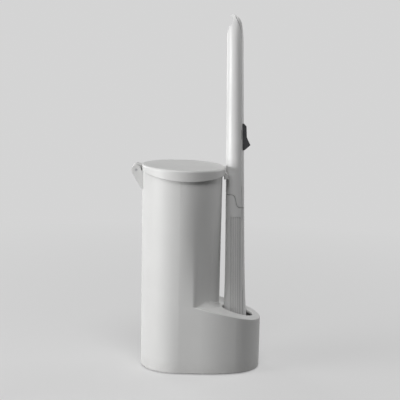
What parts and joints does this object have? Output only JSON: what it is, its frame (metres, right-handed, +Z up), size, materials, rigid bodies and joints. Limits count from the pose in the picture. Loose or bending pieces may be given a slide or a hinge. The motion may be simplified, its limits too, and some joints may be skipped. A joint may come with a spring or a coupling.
{
  "type": "toilet brush holder",
  "caption": "Free-standing toilet brush holder: round refill column with a hinged lid, and a slanted cup holding a clamp wand with a thumb slider.",
  "frame": {"origin": "floor level, below the middle of the bounding box", "axes": "+Z up, +X from the refill column towards the cup, +Y away from the viewer of the picture"},
  "size_m": [0.144, 0.092, 0.3888],
  "materials": {
    "white_plastic": "satin moulded",
    "slider_plastic": "matte",
    "inner_plastic": "satin moulded",
    "steel": "drawn wire",
    "pad_rubber": "matte",
    "grip_rubber": "matte"
  },
  "bodies": {
    "caddy": {"caddy_shell": "white_plastic", "base_plate": "white_plastic", "foot_pads": "pad_rubber", "hinge_pin": "steel"},
    "lid": {"lid": "white_plastic"},
    "wand": {"grip_body": "white_plastic", "grip_cover": "white_plastic", "shank_body": "white_plastic", "shank_cover": "white_plastic", "coupling_sleeve": "inner_plastic", "jaw_yoke": "inner_plastic", "jaw_pins": "steel", "return_spring": "steel"},
    "slider": {"thumb_slider": "slider_plastic", "slider_carriage": "inner_plastic", "push_rod_upper": "inner_plastic", "spring_collar": "steel", "push_rod_lower": "inner_plastic", "cross_pin": "steel"},
    "jaw_front": {"jaw_front": "inner_plastic", "jaw_front_grip": "grip_rubber"},
    "jaw_back": {"jaw_back": "inner_plastic", "jaw_back_grip": "grip_rubber"}
  },
  "joints": [
    {"name": "lid_hinge", "type": "hinge", "parent": "caddy", "child": "lid", "pos_m": [-0.06669, 0, 0.2198], "axis": [0, -1, 0], "range_deg": [0, 105]},
    {"name": "wand_lift", "type": "slide", "parent": "caddy", "child": "wand", "axis": [0, 0.0661, 0.9978], "range_m": [0, 0.24]},
    {"name": "slider_press", "type": "slide", "parent": "wand", "child": "slider", "axis": [0.0208, -0.066, -0.9976], "range_m": [0, 0.01], "stiffness_N_per_m": 300, "springref_m": -0.008, "deforming": ["return_spring"]},
    {"name": "jaw_front_swing", "type": "hinge", "parent": "wand", "child": "jaw_front", "pos_m": [0.04403, -0.00262, 0.05584], "axis": [-0.9998, -0.0014, -0.0207], "range_deg": [0, 10]},
    {"name": "jaw_back_swing", "type": "hinge", "parent": "wand", "child": "jaw_back", "pos_m": [0.04403, 0.00536, 0.05532], "axis": [0.9998, 0.0014, 0.0207], "range_deg": [0, 10]}
  ],
  "couplings": [
    {"joint": "jaw_front_swing", "follows": "slider_press", "rad_per_m": 17.453},
    {"joint": "jaw_back_swing", "follows": "slider_press", "rad_per_m": 17.453}
  ]
}
